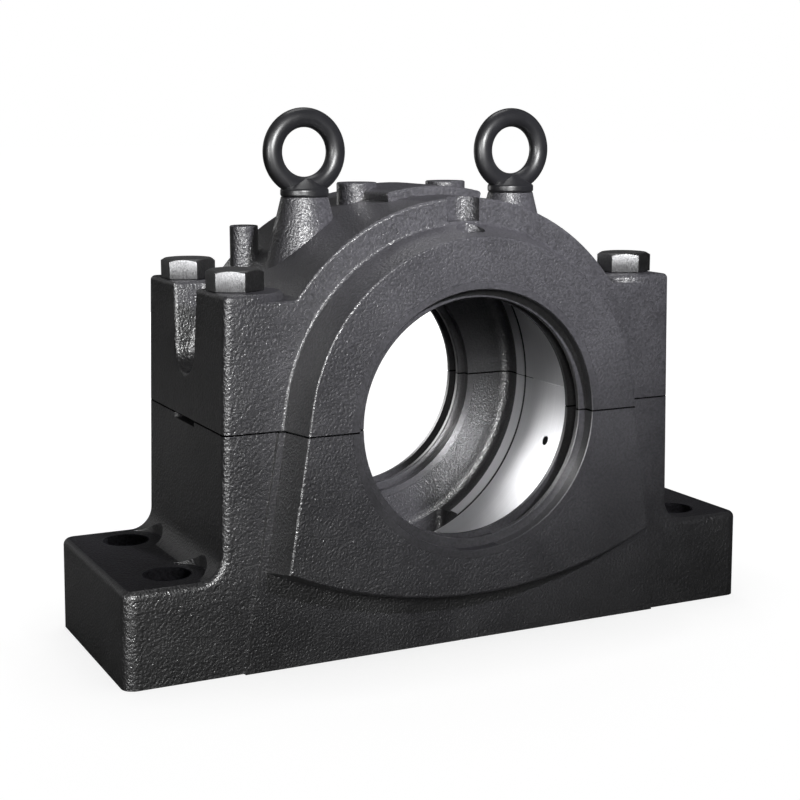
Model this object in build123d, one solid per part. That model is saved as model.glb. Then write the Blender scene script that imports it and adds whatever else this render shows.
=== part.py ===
from build123d import *
import os
from math import asin, cos, degrees, radians, sin, sqrt, tan

# A large split plummer block housing: a cast base and a cast cap that meet on the shaft's
# centre plane, held by four hexagon bolts, lined up by two dowels and lifted by two eye bolts.
# Millimetres. X runs along the feet, Y along the shaft, Z up. The origin is the middle of
# the underside, straight below the centre of the bore.

# --- Shaft line and joint
CENTRE_HEIGHT = 240.0
JOINT_CHAMFER = 0.7

# --- Bearing seat and the cast chamber round it; the castings are sized outwards from here
SEAT_RADIUS = 185.0
SEAT_HALF_WIDTH = 48.0
SIDE_LAND_STEP = 0.6
SIDE_LAND_MARGIN = 24.0
RING_GROOVE_DEPTH = 4.0
RING_GROOVE_WIDTH = 4.0
RING_GROOVE_OFFSET = 16.0
CHAMBER_STEP = 3.0
CHAMBER_RADIUS = SEAT_RADIUS + CHAMBER_STEP
CHAMBER_CORNER_RADIUS = 12.0

# --- Body, cut by the joint into base and cap
JOINT_WALL = 70.0
BODY_HALF_LENGTH = CHAMBER_RADIUS + JOINT_WALL
BODY_HALF_WIDTH = 116.5
BODY_END_DRAFT = 1.5
CASTING_EDGE_RADIUS = 7.0
DRUM_WALL = 33.0
DRUM_RADIUS = CHAMBER_RADIUS + DRUM_WALL
DRUM_EDGE_RADIUS = 3.0
SHOULDER_RISE = 126.0
SHOULDER_HEIGHT = CENTRE_HEIGHT + SHOULDER_RISE
SHOULDER_TO_DRUM_RADIUS = 9.0

# --- Feet
FOOT_REACH = 104.5
FOOT_HALF_LENGTH = BODY_HALF_LENGTH + FOOT_REACH
FOOT_HEIGHT = 98.0
FOOT_END_DRAFT = 1.0
FOOT_CORNER_RADIUS = 13.0
FOOT_TO_WALL_RADIUS = 24.0
FOOT_HOLE_RADIUS = 23.0
FOOT_HOLE_INSET = 60.0
FOOT_HOLE_X = FOOT_HALF_LENGTH - FOOT_HOLE_INSET
FOOT_HOLE_FLANK_INSET = 46.5
FOOT_HOLE_Y = BODY_HALF_WIDTH - FOOT_HOLE_FLANK_INSET
WASHER_CLEARANCE_RADIUS = 39.0

# --- Collar round each end of the bore
COLLAR_REACH = 40.5
COLLAR_FACE_Y = BODY_HALF_WIDTH + COLLAR_REACH
FLANK_LEDGE = 26.5
COLLAR_ROOT_RADIUS = DRUM_RADIUS - FLANK_LEDGE
COLLAR_DRAFT = 14.0
COLLAR_SIDE_FLARE = 9.0
COLLAR_SKIRT_RADIUS = 500.0
COLLAR_SKIRT_BOTTOM = 50.5
COLLAR_ROOT_FILLET = 3.5
COLLAR_FACE_EDGE_RADIUS = 2.5

# --- Apron on the base below each collar, and the scribed centre mark on it
APRON_PROUD = 4.0
APRON_MARGIN = 8.0
APRON_HALF_WIDTH = COLLAR_ROOT_RADIUS + APRON_MARGIN
APRON_FLARE = 9.2
MARK_WIDTH = 1.6
MARK_DEPTH = 0.8

# --- Seal bore in each end wall
SEAL_BORE_RADIUS = 123.5
COUNTERBORE_STEP = 9.0
COUNTERBORE_RADIUS = SEAL_BORE_RADIUS + COUNTERBORE_STEP
COUNTERBORE_DEPTH = 12.0
SEAL_LIP_WIDTH = 5.5
SEAL_GROOVE_DEPTH = 15.5
SEAL_GROOVE_RADIUS = SEAL_BORE_RADIUS + SEAL_GROOVE_DEPTH
SEAL_GROOVE_WIDTH = 16.0
END_WALL_THICKNESS = 47.0
END_WALL_INNER_Y = COLLAR_FACE_Y - END_WALL_THICKNESS
INNER_COUNTERBORE_DEPTH = 8.0
LIP_CHAMFER = 0.8

# --- Oil sump pockets below the seat's two sides
SUMP_HALF_LENGTH = 98.0
SUMP_FLOOR = 36.0
SUMP_WALL_CLEARANCE = 3.0
SUMP_CORNER_RADIUS = 9.0

# --- Pockets cored into the underside between the chamber and the end walls
CORE_WALL = 22.0
CORE_CROWN_HEIGHT = 118.0
CORE_CORNER_RADIUS = 14.0
CORE_CROWN_RADIUS = 9.0

# --- Sensor hole from the right end wall down to the seat
SENSOR_HOLE_RADIUS = 5.5
SENSOR_HOLE_ANGLE = 20.3
SENSOR_SPOT_RADIUS = 17.0
SENSOR_SPOT_DEPTH = 4.0

# --- Cap bolts and their pads
BOLT_RADIUS = 16.5
BOLT_END_INSET = 31.5
BOLT_X = BODY_HALF_LENGTH - BOLT_END_INSET
BOLT_FLANK_INSET = 47.0
BOLT_Y = BODY_HALF_WIDTH - BOLT_FLANK_INSET
BOLT_HEAD_ACROSS_FLATS = 50.0
BOLT_HEAD_HEIGHT = 21.0
BOLT_HEAD_CHAMFER_ANGLE = 30.0
BOLT_HEAD_TOP_SHARE = 0.97
BOLT_ENGAGEMENT = 58.0
BOLT_TIP_CHAMFER = 2.0
BOLT_HOLE_CLEARANCE = 1.5
BOLT_THREAD_CLEARANCE = 0.05
BOLT_HOLE_EXTRA_DEPTH = 10.0
PAD_RISE = 8.0
PAD_HEIGHT = SHOULDER_HEIGHT + PAD_RISE
PAD_EDGE_RADIUS = 5.0

# --- Recess in each end of the cap, between its two bolts
RECESS_TOP_HALF_WIDTH = 35.0
RECESS_TAPER = 4.0
RECESS_RISE = 45.0
RECESS_BOTTOM = CENTRE_HEIGHT + RECESS_RISE
RECESS_TOP_DEPTH = 42.0
RECESS_BOTTOM_DEPTH = 20.0
RECESS_CORNER_RADIUS = 12.0
RECESS_MOUTH_RADIUS = 4.0

# --- Slot for a lever under the cap, in each end of the base
PRY_HALF_WIDTH = 31.0
PRY_HEIGHT = 5.5
PRY_DEPTH = 14.0

# --- Dowels in the joint
DOWEL_RADIUS = 8.0
DOWEL_HALF_LENGTH = 18.0
DOWEL_END_INSET = 28.0
DOWEL_X = BODY_HALF_LENGTH - DOWEL_END_INSET
DOWEL_CHAMFER = 1.5
DOWEL_HOLE_EXTRA_DEPTH = 3.0
FIT_CLEARANCE = 0.05

# --- Eye bolts and the bosses under them
EYE_X = 122.5
EYE_BOSS_RISE = 35.0
EYE_SEAT_HEIGHT = CENTRE_HEIGHT + sqrt(DRUM_RADIUS ** 2 - EYE_X ** 2) + EYE_BOSS_RISE
EYE_BOSS_TOP_RADIUS = 24.5
EYE_BOSS_HALF_ANGLE = 14.0
EYE_THREAD_RADIUS = 12.0
EYE_THREAD_LENGTH = 36.0
EYE_THREAD_CHAMFER = 1.5
EYE_HOLE_EXTRA_DEPTH = 4.0
EYE_COLLAR_RADIUS = 25.0
EYE_COLLAR_HEIGHT = 8.0
EYE_COLLAR_EDGE_RADIUS = 3.0
EYE_NECK_TOP_RADIUS = 4.0
EYE_RING_RADIUS = 35.0
EYE_SECTION_RADIUS = 10.0
EYE_RING_RISE = 45.5

# --- Crown of the cap: a raised saddle with two blank bosses
CROWN_RISE = 9.0
CROWN_RADIUS = DRUM_RADIUS + CROWN_RISE
CROWN_HALF_LENGTH = 55.0
CROWN_HALF_WIDTH = 55.0
CROWN_EDGE_RADIUS = 3.0
BLANK_BOSS_X = 53.0
BLANK_BOSS_Y = 22.0
BLANK_BOSS_RADIUS = 21.5
BLANK_BOSS_RISE = 11.0
BLANK_BOSS_EDGE_RADIUS = 2.0

# --- Notch in the drum's rim and the grease hole below it, at each end
NOTCH_RADIUS = 18.3
NOTCH_FLOOR_RISE = 2.5
GREASE_SPOT_RADIUS = 14.5
GREASE_SPOT_DROP = 8.0
GREASE_HOLE_RADIUS = 4.3

# --- Tapped boss behind the left shoulder, and the screw plugs
SIDE_BOSS_X = -167.0
SIDE_BOSS_Y = 60.0
SIDE_BOSS_RADIUS = 15.0
SIDE_BOSS_RISE = 61.5
SIDE_BOSS_EDGE_RADIUS = 1.5
PLUG_RADIUS = 8.0
PLUG_LENGTH = 14.0
PLUG_CHAMFER = 0.8
PLUG_SOCKET_ACROSS_FLATS = 8.0
PLUG_SOCKET_DEPTH = 7.0

# --- Reach of tools that cut clean through, the turn that keeps seams off the joint, and
# the distance within which two places count as one when edges are picked
PAST = 20.0
SEAM_TURN = 37.0
NEAR = 0.01

JOINT_PLANE = Plane.XY.offset(CENTRE_HEIGHT)
# Sketches on this plane read X to the right and Z upwards, measured from the bore's axis.
BORE_PLANE = Plane(origin=(0, 0, CENTRE_HEIGHT), x_dir=(1, 0, 0), z_dir=(0, -1, 0))


def on_both_sides(shape):
    return [shape, mirror(shape, about=Plane.XZ)]


def on_both_ends(shape):
    return [shape, mirror(shape, about=Plane.YZ)]


def upright(radius, x, y, bottom, top):
    return Pos(x, y, bottom) * extrude(Circle(radius), top - bottom)


def end_wall_x(height):
    # The end walls lean outwards on the way down.
    return BODY_HALF_LENGTH + (CENTRE_HEIGHT - height) * tan(radians(BODY_END_DRAFT))


def drum_height(x):
    return CENTRE_HEIGHT + sqrt(DRUM_RADIUS ** 2 - x ** 2)


def from_axis(x, z):
    return sqrt(x ** 2 + (z - CENTRE_HEIGHT) ** 2)


def on_flank(y):
    return abs(abs(y) - BODY_HALF_WIDTH) < NEAR


def across(profile, half_width):
    # A profile in the X-Z plane, extruded the same distance to the front and to the rear.
    return extrude(Plane.XZ * profile, half_width, both=True)


def base_block():
    # One side view gives the feet, the end walls and the round corner between them.
    foot_top_x = FOOT_HALF_LENGTH - FOOT_HEIGHT * tan(radians(FOOT_END_DRAFT))
    wall_foot_x = end_wall_x(FOOT_HEIGHT)
    right = [
        (FOOT_HALF_LENGTH, 0),
        (foot_top_x, FOOT_HEIGHT),
        (wall_foot_x, FOOT_HEIGHT),
        (BODY_HALF_LENGTH, CENTRE_HEIGHT),
    ]
    left = [(-x, z) for x, z in reversed(right)]
    outline = make_face(Polyline(*right, *left, close=True))
    inner = outline.vertices().filter_by(lambda v: abs(abs(v.X) - wall_foot_x) < NEAR)
    block = across(fillet(inner, FOOT_TO_WALL_RADIUS), BODY_HALF_WIDTH)
    ends = block.edges().filter_by(lambda e: abs(e.center().X) > foot_top_x)
    block = fillet(ends.filter_by(lambda e: on_flank(e.center().Y)), FOOT_CORNER_RADIUS)
    return fillet(block.edges().filter_by(is_casting_edge), CASTING_EDGE_RADIUS)


def is_casting_edge(edge):
    # The run of edges down each wall's corners, through the round corner and round the foot.
    middle = edge @ 0.5
    highest = max((edge @ 0).Z, (edge @ 1).Z)
    lowest = min((edge @ 0).Z, (edge @ 1).Z)
    above_the_foot = lowest > FOOT_HEIGHT - NEAR
    below_the_joint = abs(middle.Z - CENTRE_HEIGHT) > NEAR
    over_the_foot = abs(highest - FOOT_HEIGHT) < NEAR and abs(middle.X) > BODY_HALF_LENGTH + PAST
    return above_the_foot and below_the_joint and (on_flank(middle.Y) or over_the_foot)


def tangent_flank(radius, flare):
    # Where a straight side that leans outwards by the flare touches a circle on the bore's axis.
    return radius * cos(radians(flare)), radius * sin(radians(flare))


def collar_outline():
    # Round over the bore, straight leaning sides and a shallow arc below.
    touch_x, touch_z = tangent_flank(COLLAR_ROOT_RADIUS, COLLAR_SIDE_FLARE)
    skirt_centre = COLLAR_SKIRT_BOTTOM + COLLAR_SKIRT_RADIUS - CENTRE_HEIGHT
    lean = tan(radians(COLLAR_SIDE_FLARE))
    # The side meets the skirt's arc where the line x = touch_x + lean * drop lies on its circle.
    start = touch_x + lean * (touch_z - skirt_centre)
    a = 1 + lean ** 2
    drop = (-start * lean + sqrt(COLLAR_SKIRT_RADIUS ** 2 * a - start ** 2)) / a
    corner_x = start + lean * drop
    corner_z = skirt_centre - drop
    skirt_low = (0, skirt_centre - COLLAR_SKIRT_RADIUS)
    over = ThreePointArc((touch_x, touch_z), (0, COLLAR_ROOT_RADIUS), (-touch_x, touch_z))
    left = Line((-touch_x, touch_z), (-corner_x, corner_z))
    skirt = ThreePointArc((-corner_x, corner_z), skirt_low, (corner_x, corner_z))
    right = Line((corner_x, corner_z), (touch_x, touch_z))
    return make_face([over, left, skirt, right])


def collar():
    # Drafted to its face, with a straight stub that carries it into the wall behind it.
    root = collar_outline()
    body = extrude(BORE_PLANE.offset(BODY_HALF_WIDTH) * root, COLLAR_REACH, taper=COLLAR_DRAFT)
    face_edges = body.faces().sort_by(Axis.Y)[0].edges()
    body = fillet(face_edges, COLLAR_FACE_EDGE_RADIUS)
    stub = extrude(BORE_PLANE.offset(BODY_HALF_WIDTH - PAST) * root, PAST)
    return body + stub


def is_collar_root(edge):
    # The seam between a collar and the flank that it stands on, over the top of the bore.
    middle = edge @ 0.5
    round_the_bore = abs(from_axis(middle.X, middle.Z) - COLLAR_ROOT_RADIUS) < NEAR
    return on_flank(middle.Y) and round_the_bore


def apron():
    foot = APRON_HALF_WIDTH + CENTRE_HEIGHT * tan(radians(APRON_FLARE))
    top = [(APRON_HALF_WIDTH, CENTRE_HEIGHT), (-APRON_HALF_WIDTH, CENTRE_HEIGHT)]
    outline = Polyline(*top, (-foot, 0), (foot, 0), close=True)
    return across(make_face(outline), BODY_HALF_WIDTH + APRON_PROUD)


def end_wall_profile():
    # Points (radius, y) from outside the front end inwards: counterbore, lip, groove, lip.
    lip_1 = COLLAR_FACE_Y - COUNTERBORE_DEPTH
    groove_outer = lip_1 - SEAL_LIP_WIDTH
    groove_inner = groove_outer - SEAL_GROOVE_WIDTH
    lip_2 = END_WALL_INNER_Y + INNER_COUNTERBORE_DEPTH
    c = LIP_CHAMFER
    return [
        (0, -COLLAR_FACE_Y - PAST),
        (COUNTERBORE_RADIUS + c, -COLLAR_FACE_Y - PAST),
        (COUNTERBORE_RADIUS + c, -COLLAR_FACE_Y),
        (COUNTERBORE_RADIUS, -COLLAR_FACE_Y + c),
        (COUNTERBORE_RADIUS, -lip_1),
        (SEAL_BORE_RADIUS + c, -lip_1),
        (SEAL_BORE_RADIUS, -lip_1 + c),
        (SEAL_BORE_RADIUS, -groove_outer),
        (SEAL_GROOVE_RADIUS, -groove_outer),
        (SEAL_GROOVE_RADIUS, -groove_inner),
        (SEAL_BORE_RADIUS, -groove_inner),
        (SEAL_BORE_RADIUS, -lip_2 - c),
        (SEAL_BORE_RADIUS + c, -lip_2),
        (COUNTERBORE_RADIUS, -lip_2),
        (COUNTERBORE_RADIUS, -END_WALL_INNER_Y),
    ]


def chamber_profile():
    # Points (radius, y) of the cast barrel and of the machined lands that stand in it.
    land = SEAT_RADIUS + SIDE_LAND_STEP
    land_end = END_WALL_INNER_Y - SIDE_LAND_MARGIN
    groove = SEAT_RADIUS + RING_GROOVE_DEPTH
    groove_inner = SEAT_HALF_WIDTH + RING_GROOVE_OFFSET
    groove_outer = groove_inner + RING_GROOVE_WIDTH
    return [
        (CHAMBER_RADIUS, -END_WALL_INNER_Y),
        (CHAMBER_RADIUS, -land_end - CHAMBER_STEP + SIDE_LAND_STEP),
        (land, -land_end),
        (land, -groove_outer),
        (groove, -groove_outer),
        (groove, -groove_inner),
        (land, -groove_inner),
        (land, -SEAT_HALF_WIDTH - SIDE_LAND_STEP),
        (SEAT_RADIUS, -SEAT_HALF_WIDTH),
    ]


def is_barrel_corner(vertex):
    at_end = abs(abs(vertex.Y) - END_WALL_INNER_Y) < NEAR
    return at_end and abs(vertex.X - CHAMBER_RADIUS) < NEAR


def housing_core():
    # Everything that is bored or cored out round the shaft line, as one turned shape.
    front = end_wall_profile() + chamber_profile()
    rear = [(radius, -y) for radius, y in reversed(front)]
    face = make_face(Polyline(*front, *rear, close=True))
    face = fillet(face.vertices().filter_by(is_barrel_corner), CHAMBER_CORNER_RADIUS)
    turned = revolve(face, Axis.Y)
    return Pos(0, 0, CENTRE_HEIGHT) * Rot(0, SEAM_TURN, 0) * turned


def sump_pockets():
    # Below the seat's sides the oil pockets leave only the seat itself across the bottom.
    start = SEAT_HALF_WIDTH + RING_GROOVE_OFFSET
    length = 2 * SUMP_HALF_LENGTH
    width = END_WALL_INNER_Y - SUMP_WALL_CLEARANCE - start
    height = CENTRE_HEIGHT - SUMP_FLOOR - CHAMBER_RADIUS / 2
    block = Box(length, width, height, align=(Align.CENTER, Align.MAX, Align.MIN))
    lower = block.edges().filter_by(lambda e: e.center().Z < height - 1)
    return on_both_sides(Pos(0, -start, SUMP_FLOOR) * fillet(lower, SUMP_CORNER_RADIUS))


def core_pockets():
    # Open below, with an even wall left round the chamber, the flanks and the end walls.
    inner_x = SUMP_HALF_LENGTH + CORE_WALL
    outer_x = BODY_HALF_LENGTH - CORE_WALL
    half_width = BODY_HALF_WIDTH - CORE_WALL
    height = CORE_CROWN_HEIGHT + PAST
    block = Box(outer_x - inner_x, 2 * half_width, height, align=(Align.MIN, Align.CENTER, Align.MIN))
    block = fillet(block.edges().filter_by(Axis.Z), CORE_CORNER_RADIUS)
    block = fillet(block.faces().sort_by(Axis.Z)[-1].edges(), CORE_CROWN_RADIUS)
    barrel = across(Circle(CHAMBER_RADIUS + CORE_WALL), BODY_HALF_WIDTH)
    pocket = Pos(inner_x, 0, -PAST) * block - Pos(0, 0, CENTRE_HEIGHT) * barrel
    return on_both_ends(pocket)


def bolt_places():
    return [(sx * BOLT_X, sy * BOLT_Y) for sx in (-1, 1) for sy in (-1, 1)]


def foot_hole_places():
    return [(sx * FOOT_HOLE_X, sy * FOOT_HOLE_Y) for sx in (-1, 1) for sy in (-1, 1)]


def pry_slots():
    align = (Align.MIN, Align.CENTER, Align.MIN)
    slot = Box(PRY_DEPTH + PAST, 2 * PRY_HALF_WIDTH, PRY_HEIGHT + PAST, align=align)
    return on_both_ends(Pos(BODY_HALF_LENGTH - PRY_DEPTH, 0, CENTRE_HEIGHT - PRY_HEIGHT) * slot)


def sensor_frame():
    # Z of this frame runs outwards along the sensor hole, from the bore's axis.
    turn = radians(SENSOR_HOLE_ANGLE)
    outwards = (cos(turn), 0, -sin(turn))
    return Plane(origin=(0, 0, CENTRE_HEIGHT), x_dir=(0, 1, 0), z_dir=outwards)


def sensor_spot_distance():
    # How far out along the hole its spot face lies, on the leaning right end wall.
    turn = radians(SENSOR_HOLE_ANGLE)
    wall = BODY_HALF_LENGTH / (cos(turn) - sin(turn) * tan(radians(BODY_END_DRAFT)))
    return wall - SENSOR_SPOT_RADIUS * tan(turn) - SENSOR_SPOT_DEPTH


def sensor_cuts():
    frame = sensor_frame()
    start = CHAMBER_RADIUS - PAST
    spot = sensor_spot_distance()
    hole = extrude(frame.offset(start) * Circle(SENSOR_HOLE_RADIUS), spot - start + PAST)
    face = extrude(frame.offset(spot) * Circle(SENSOR_SPOT_RADIUS), 2 * PAST)
    plug_hole = extrude(frame.offset(spot - PLUG_LENGTH) * Circle(PLUG_RADIUS), PLUG_LENGTH + PAST)
    return [hole, face, plug_hole]


def foot_cuts():
    cuts = []
    washer_top = FOOT_HEIGHT + FOOT_TO_WALL_RADIUS + PAST
    for x, y in foot_hole_places():
        cuts.append(upright(FOOT_HOLE_RADIUS, x, y, -PAST, FOOT_HEIGHT + PAST))
        cuts.append(upright(WASHER_CLEARANCE_RADIUS, x, y, FOOT_HEIGHT, washer_top))
    return cuts


def joint_cuts_below():
    cuts = []
    thread_radius = BOLT_RADIUS + BOLT_THREAD_CLEARANCE
    thread_floor = CENTRE_HEIGHT - BOLT_ENGAGEMENT - BOLT_HOLE_EXTRA_DEPTH
    for x, y in bolt_places():
        cuts.append(upright(thread_radius, x, y, thread_floor, CENTRE_HEIGHT + PAST))
    dowel_floor = CENTRE_HEIGHT - DOWEL_HALF_LENGTH
    for x in (-DOWEL_X, DOWEL_X):
        cuts.append(upright(DOWEL_RADIUS, x, 0, dowel_floor, CENTRE_HEIGHT + PAST))
    return cuts


def joint_cuts_above():
    cuts = []
    hole_radius = BOLT_RADIUS + BOLT_HOLE_CLEARANCE
    for x, y in bolt_places():
        cuts.append(upright(hole_radius, x, y, CENTRE_HEIGHT - PAST, PAD_HEIGHT + PAST))
    dowel_top = CENTRE_HEIGHT + DOWEL_HALF_LENGTH + DOWEL_HOLE_EXTRA_DEPTH
    for x in (-DOWEL_X, DOWEL_X):
        cuts.append(upright(DOWEL_RADIUS + FIT_CLEARANCE, x, 0, CENTRE_HEIGHT - PAST, dowel_top))
    return cuts


def centre_marks():
    # A scribed line up the middle of each apron, from the underside to the collar's skirt.
    align = (Align.CENTER, Align.MAX, Align.MIN)
    mark = Box(MARK_WIDTH, MARK_DEPTH + PAST, COLLAR_SKIRT_BOTTOM + PAST, align=align)
    return on_both_sides(Pos(0, -(BODY_HALF_WIDTH + APRON_PROUD - MARK_DEPTH), -PAST) * mark)


def chamfer_joint(block):
    # A light chamfer round the outside of both joint faces, which leaves a fine seam line.
    faces = block.faces().filter_by(Axis.Z)
    joint = [f for f in faces if abs(f.center().Z - CENTRE_HEIGHT) < NEAR]
    rim = [edge for face in joint for edge in face.outer_wire().edges()]
    return chamfer(rim, JOINT_CHAMFER)


def base_housing():
    block = base_block() + apron()
    for part in on_both_sides(collar()):
        block = block + part
    block = split(block, bisect_by=JOINT_PLANE, keep=Keep.BOTTOM) - housing_core()
    cuts = sump_pockets() + core_pockets() + foot_cuts() + joint_cuts_below()
    cuts += pry_slots() + centre_marks() + sensor_cuts()
    for cut in cuts:
        block = block - cut
    return chamfer_joint(block)


def cap_outline():
    # The side view of the cap: end walls, shoulders and the drum over the bore.
    top_x = end_wall_x(SHOULDER_HEIGHT)
    drum_x = sqrt(DRUM_RADIUS ** 2 - SHOULDER_RISE ** 2)
    right = [(drum_x, SHOULDER_RISE), (top_x, SHOULDER_RISE), (BODY_HALF_LENGTH, 0)]
    sides = Polyline(*right, *[(-x, z) for x, z in reversed(right)])
    over = ThreePointArc((-drum_x, SHOULDER_RISE), (0, DRUM_RADIUS), (drum_x, SHOULDER_RISE))
    outline = make_face([sides, over])
    inner = outline.vertices().filter_by(lambda v: abs(abs(v.X) - drum_x) < NEAR)
    return fillet(inner, SHOULDER_TO_DRUM_RADIUS)


def end_wall_room(bottom, top, inset_bottom, inset_top):
    # The slab between the leaning end wall of the right end and a plane behind it.
    inner = [(end_wall_x(bottom) - inset_bottom, bottom), (end_wall_x(top) - inset_top, top)]
    outer = [(end_wall_x(top), top), (end_wall_x(bottom), bottom)]
    return across(make_face(Polyline(*inner, *outer, close=True)), BODY_HALF_WIDTH)


def bolt_pads(recess):
    # A pad under each bolt head: round towards the drum, square to the end wall and the flank.
    reach = BOLT_END_INSET + BOLT_FLANK_INSET
    room = end_wall_room(CENTRE_HEIGHT, PAD_HEIGHT, reach, reach)
    height = PAD_HEIGHT - CENTRE_HEIGHT
    round_end = upright(BOLT_FLANK_INSET, BOLT_X, -BOLT_Y, CENTRE_HEIGHT, PAD_HEIGHT)
    align = (Align.MIN, Align.CENTER, Align.MIN)
    to_wall = Box(BOLT_FLANK_INSET, 2 * BOLT_FLANK_INSET, height, align=align)
    pad = (round_end + Pos(BOLT_X, -BOLT_Y, CENTRE_HEIGHT) * to_wall) & room
    pad = fillet(pad.edges().filter_by(is_cap_corner), CASTING_EDGE_RADIUS)
    pad = pad - recess
    pad = fillet(pad.faces().sort_by(Axis.Z)[-1].edges(), PAD_EDGE_RADIUS)
    return on_both_sides(pad) + on_both_sides(Rot(0, 0, 180) * pad)


def recess_outline():
    # Tapered sides on a round bottom, seen along X; the top reaches past the pads.
    radius = RECESS_TOP_HALF_WIDTH - (PAD_HEIGHT - RECESS_BOTTOM) * tan(radians(RECESS_TAPER))
    rise = PAD_HEIGHT + PAST - RECESS_BOTTOM
    top = RECESS_TOP_HALF_WIDTH + PAST * tan(radians(RECESS_TAPER))
    touch_y, touch_z = tangent_flank(radius, RECESS_TAPER)
    right = Line((touch_y, radius + touch_z), (top, rise))
    over = Line((top, rise), (-top, rise))
    left = Line((-top, rise), (-touch_y, radius + touch_z))
    bottom = ThreePointArc((-touch_y, radius + touch_z), (0, 0), (touch_y, radius + touch_z))
    return make_face([right, over, left, bottom])


def end_recess():
    # A scoop between the two bolts of the right end, deepest at the top. Its back wall leans
    # outwards on the way down and turns into its sides through a wide round corner.
    start = end_wall_x(PAD_HEIGHT) - RECESS_TOP_DEPTH
    across_end = Plane(origin=(start - PAST, 0, RECESS_BOTTOM), x_dir=(0, 1, 0), z_dir=(1, 0, 0))
    length = RECESS_TOP_DEPTH + RECESS_BOTTOM_DEPTH + 2 * PAST
    scoop = extrude(across_end * recess_outline(), length)
    slope = (RECESS_TOP_DEPTH - RECESS_BOTTOM_DEPTH) / (PAD_HEIGHT - RECESS_BOTTOM)
    above = PAD_HEIGHT + 2 * PAST
    below = RECESS_BOTTOM - PAST
    back_top = start - slope * 2 * PAST
    back_bottom = end_wall_x(RECESS_BOTTOM) - RECESS_BOTTOM_DEPTH + slope * PAST
    outside = BODY_HALF_LENGTH + PAST
    room = Polyline(
        (back_bottom, below), (back_top, above), (outside, above), (outside, below), close=True
    )
    scoop = scoop & across(make_face(room), BODY_HALF_WIDTH)
    back = scoop.faces().sort_by(lambda f: f.center().X)[0]
    top = back.edges().sort_by(Axis.Z)[-1]
    return fillet([e for e in back.edges() if e != top], RECESS_CORNER_RADIUS)


def is_recess_mouth(edge):
    return all(
        abs(v.X - end_wall_x(v.Z)) < NEAR and abs(v.Y) < BODY_HALF_WIDTH - NEAR
        for v in edge.vertices()
    )


def rounded_recess(scoop):
    # The scoop blended into a slab outside the end wall, which rounds the rim of its mouth.
    bottom = RECESS_BOTTOM - PAST
    slab = end_wall_room(bottom, PAD_HEIGHT + PAST, -PAST, -PAST)
    both = scoop + slab
    return fillet(both.edges().filter_by(is_recess_mouth), RECESS_MOUTH_RADIUS)


def eye_boss(x):
    # A cone from the eye bolt's seat down into the drum, also where the drum falls away.
    lean = tan(radians(EYE_BOSS_HALF_ANGLE))
    drum_edge = EYE_X + EYE_BOSS_TOP_RADIUS + EYE_BOSS_RISE
    height = EYE_SEAT_HEIGHT - drum_height(drum_edge)
    foot_radius = EYE_BOSS_TOP_RADIUS + height * lean
    align = (Align.CENTER, Align.CENTER, Align.MAX)
    return Pos(x, 0, EYE_SEAT_HEIGHT) * Cone(foot_radius, EYE_BOSS_TOP_RADIUS, height, align=align)


def crown():
    # A low saddle, concentric with the drum.
    reach = degrees(asin(CROWN_HALF_LENGTH / CROWN_RADIUS))
    inner = DRUM_RADIUS - CROWN_RISE
    turns = [radians(a) for a in (90 - reach, 90, 90 + reach)]
    outer_arc = ThreePointArc(*[(CROWN_RADIUS * cos(t), CROWN_RADIUS * sin(t)) for t in turns])
    inner_arc = ThreePointArc(*[(inner * cos(t), inner * sin(t)) for t in turns])
    sides = [Line(outer_arc @ 0, inner_arc @ 0), Line(outer_arc @ 1, inner_arc @ 1)]
    outline = make_face([outer_arc, inner_arc, *sides])
    saddle = extrude(BORE_PLANE * outline, CROWN_HALF_WIDTH, both=True)
    return fillet(saddle.edges().filter_by(is_crown_rim), CROWN_EDGE_RADIUS)


def is_crown_rim(edge):
    return all(abs(from_axis(v.X, v.Z) - CROWN_RADIUS) < NEAR for v in edge.vertices())


def blank_bosses():
    top = CENTRE_HEIGHT + DRUM_RADIUS + BLANK_BOSS_RISE
    bottom = drum_height(BLANK_BOSS_X + BLANK_BOSS_RADIUS)
    boss = upright(BLANK_BOSS_RADIUS, BLANK_BOSS_X, BLANK_BOSS_Y, bottom, top)
    return on_both_ends(fillet(boss.edges().sort_by(Axis.Z)[-1], BLANK_BOSS_EDGE_RADIUS))


def side_boss_top():
    return SHOULDER_HEIGHT + SIDE_BOSS_RISE


def side_boss():
    boss = upright(SIDE_BOSS_RADIUS, SIDE_BOSS_X, SIDE_BOSS_Y, SHOULDER_HEIGHT, side_boss_top())
    return fillet(boss.edges().sort_by(Axis.Z)[-1], SIDE_BOSS_EDGE_RADIUS)


def is_cap_corner(edge):
    # The upright corners between an end wall and a flank.
    middle = edge @ 0.5
    upright_edge = abs((edge % 0.5).Z) > 0.9
    return upright_edge and abs(middle.X) > BOLT_X and on_flank(middle.Y)


def is_drum_rim(edge):
    # Everything along the top of the two flanks, over the shoulders and the drum.
    middle = edge @ 0.5
    return middle.Z > SHOULDER_HEIGHT - NEAR and on_flank(middle.Y)


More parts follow.
